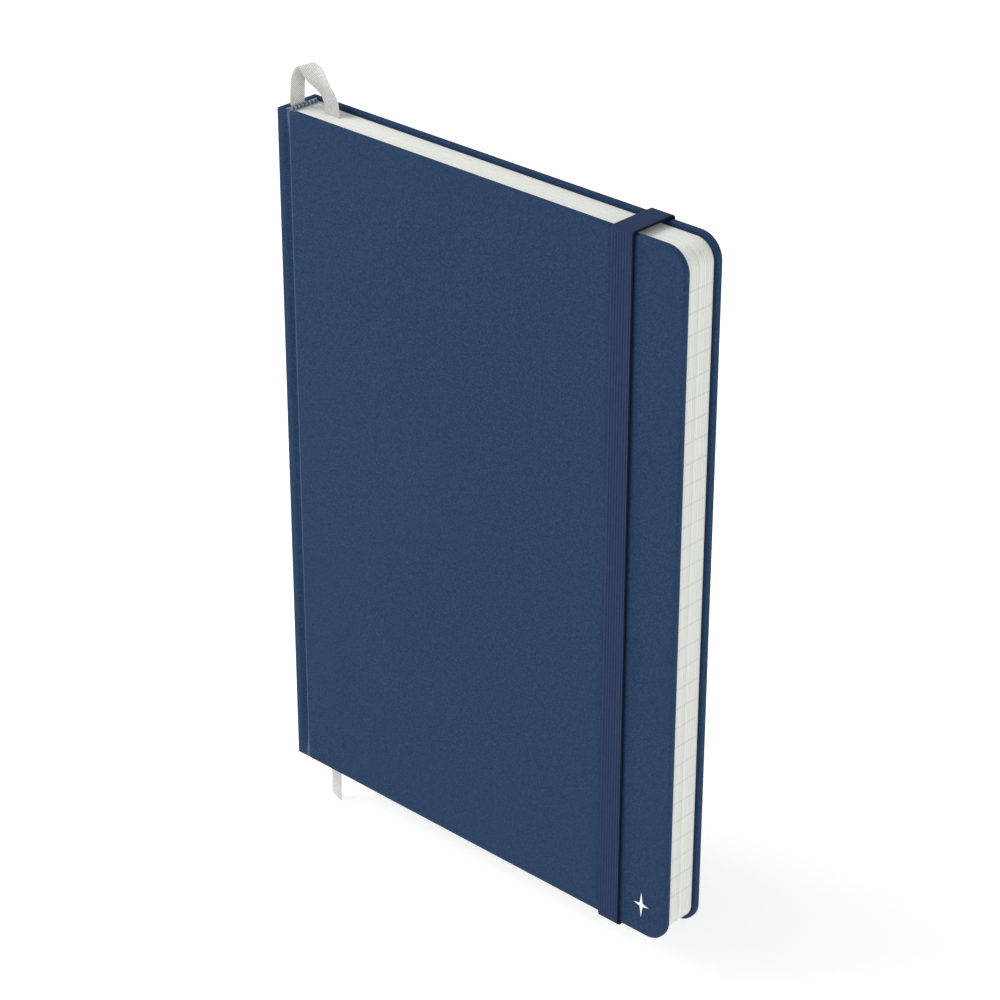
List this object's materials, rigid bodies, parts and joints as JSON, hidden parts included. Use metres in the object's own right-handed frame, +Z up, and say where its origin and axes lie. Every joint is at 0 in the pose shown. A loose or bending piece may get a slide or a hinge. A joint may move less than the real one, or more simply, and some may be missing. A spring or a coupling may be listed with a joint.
{
  "type": "pilot logbook",
  "caption": "Casebound A5 logbook with a flat spine, sewn signatures, a ribbon marker and an elastic closing band.",
  "frame": {"origin": "middle of the spine's flat outer face", "axes": "+X from the spine to the fore-edge, +Y from the front cover to the back cover, +Z up along the spine"},
  "size_m": [0.148, 0.0164, 0.2388],
  "materials": {
    "cover_cloth": "fine-grain matte leatherette",
    "grey_board": "bare bookbinder's board",
    "endpaper": "smooth uncoated",
    "lining_cloth": "open weave",
    "page_paper": "smooth off-white",
    "elastic_webbing": "ribbed elastic",
    "ribbon_satin": "woven, soft sheen",
    "band_thread": "two-colour sewn thread"
  },
  "bodies": {
    "back_cover": {"back_board": "grey_board", "back_cover_wrap": "cover_cloth", "back_pastedown": "endpaper", "rear_joint_strip": "cover_cloth", "elastic_head_anchor": "elastic_webbing", "elastic_tail_anchor": "elastic_webbing"},
    "spine": {"spine_board": "grey_board", "spine_wrap": "cover_cloth", "spine_lining": "endpaper"},
    "front_joint": {"front_joint_strip": "cover_cloth"},
    "front_cover": {"front_board": "grey_board", "front_cover_wrap": "cover_cloth", "front_pastedown": "endpaper"},
    "front_flyleaf": {"front_flyleaf": "endpaper"},
    "signature_01": {"signature_01": "page_paper", "front_endpaper_hinge": "endpaper"},
    "signature_02": {"signature_02": "page_paper"},
    "signature_03": {"signature_03": "page_paper"},
    "signature_04": {"signature_04": "page_paper"},
    "signature_05": {"signature_05": "page_paper", "mull": "lining_cloth", "headband": "band_thread", "tailband": "band_thread"},
    "signature_06": {"signature_06": "page_paper", "ribbon_anchor": "ribbon_satin", "ribbon_loop": "ribbon_satin"},
    "signature_07": {"signature_07": "page_paper"},
    "signature_08": {"signature_08": "page_paper"},
    "signature_09": {"signature_09": "page_paper", "rear_flyleaf": "endpaper"},
    "ribbon": {"ribbon_run": "ribbon_satin"},
    "elastic_runs": {"elastic_head_run": "elastic_webbing", "elastic_tail_run": "elastic_webbing"},
    "elastic_front": {"elastic_front_run": "elastic_webbing"}
  },
  "joints": [
    {"name": "spine_hinge", "type": "hinge", "parent": "back_cover", "child": "spine", "pos_m": [0.0019, 0.0074, 0], "axis": [0, 0, -1], "range_deg": [0, 90], "deforming": ["elastic_head_anchor", "elastic_tail_anchor", "elastic_head_run", "elastic_tail_run", "elastic_front_run", "ribbon_anchor", "ribbon_loop", "mull", "headband", "tailband"]},
    {"name": "front_joint_hinge", "type": "hinge", "parent": "spine", "child": "front_joint", "pos_m": [0.0019, -0.0074, 0], "axis": [0, 0, -1], "range_deg": [0, 90]},
    {"name": "front_cover_hinge", "type": "hinge", "parent": "front_joint", "child": "front_cover", "pos_m": [0.0062, -0.0074, 0], "axis": [0, 0, -1], "range_deg": [0, 150], "deforming": ["elastic_head_anchor", "elastic_tail_anchor", "elastic_head_run", "elastic_tail_run", "elastic_front_run"]},
    {"name": "signature_09_turn", "type": "hinge", "parent": "back_cover", "child": "signature_09", "pos_m": [0.00265, 0.00513, 0], "axis": [0, 0, -1], "range_deg": [0, 18]},
    {"name": "signature_08_turn", "type": "hinge", "parent": "signature_09", "child": "signature_08", "pos_m": [0.00265, 0.00383, 0], "axis": [0, 0, -1], "range_deg": [0, 18]},
    {"name": "signature_07_turn", "type": "hinge", "parent": "signature_08", "child": "signature_07", "pos_m": [0.00265, 0.00274, 0], "axis": [0, 0, -1], "range_deg": [0, 18]},
    {"name": "signature_06_turn", "type": "hinge", "parent": "signature_07", "child": "signature_06", "pos_m": [0.00265, 0.00164, 0], "axis": [0, 0, -1], "range_deg": [0, 18]},
    {"name": "signature_05_turn", "type": "hinge", "parent": "signature_06", "child": "signature_05", "pos_m": [0.00265, 0.00055, 0], "axis": [0, 0, -1], "range_deg": [0, 18]},
    {"name": "signature_04_turn", "type": "hinge", "parent": "signature_05", "child": "signature_04", "pos_m": [0.00265, -0.00055, 0], "axis": [0, 0, -1], "range_deg": [0, 18]},
    {"name": "signature_03_turn", "type": "hinge", "parent": "signature_04", "child": "signature_03", "pos_m": [0.00265, -0.00164, 0], "axis": [0, 0, -1], "range_deg": [0, 18]},
    {"name": "signature_02_turn", "type": "hinge", "parent": "signature_03", "child": "signature_02", "pos_m": [0.00265, -0.00274, 0], "axis": [0, 0, -1], "range_deg": [0, 18]},
    {"name": "signature_01_turn", "type": "hinge", "parent": "signature_02", "child": "signature_01", "pos_m": [0.00265, -0.00383, 0], "axis": [0, 0, -1], "range_deg": [0, 18]},
    {"name": "front_flyleaf_turn", "type": "hinge", "parent": "signature_01", "child": "front_flyleaf", "pos_m": [0.0092, -0.00493, 0], "axis": [0, 0, -1], "range_deg": [0, 15]},
    {"name": "ribbon_slide", "type": "slide", "parent": "signature_06", "child": "ribbon", "axis": [0.024, 0, 0.9997], "range_m": [-0.008, 0.01], "deforming": ["ribbon_loop", "ribbon_anchor"]},
    {"name": "elastic_pull", "type": "slide", "parent": "back_cover", "child": "elastic_runs", "axis": [0.8, -0.6, 0], "range_m": [0, 0.03], "stiffness_N_per_m": 40, "deforming": ["elastic_head_anchor", "elastic_tail_anchor", "elastic_head_run", "elastic_tail_run", "elastic_front_run"]},
    {"name": "elastic_settle", "type": "slide", "parent": "elastic_runs", "child": "elastic_front", "axis": [0, 1, 0], "range_m": [0, 0.0125]}
  ],
  "couplings": [
    {"joint": "front_joint_hinge", "follows": "spine_hinge", "ratio": 1},
    {"joint": "signature_09_turn", "follows": "spine_hinge", "ratio": 0.2},
    {"joint": "signature_08_turn", "follows": "spine_hinge", "ratio": 0.2},
    {"joint": "signature_07_turn", "follows": "spine_hinge", "ratio": 0.2},
    {"joint": "signature_06_turn", "follows": "spine_hinge", "ratio": 0.2},
    {"joint": "signature_05_turn", "follows": "spine_hinge", "ratio": 0.2},
    {"joint": "signature_04_turn", "follows": "spine_hinge", "ratio": 0.2},
    {"joint": "signature_03_turn", "follows": "spine_hinge", "ratio": 0.2},
    {"joint": "signature_02_turn", "follows": "spine_hinge", "ratio": 0.2},
    {"joint": "signature_01_turn", "follows": "spine_hinge", "ratio": 0.2},
    {"joint": "front_flyleaf_turn", "follows": "front_cover_hinge", "ratio": 0.1},
    {"joint": "elastic_settle", "follows": "spine_hinge", "m_per_rad": 0.007957}
  ]
}
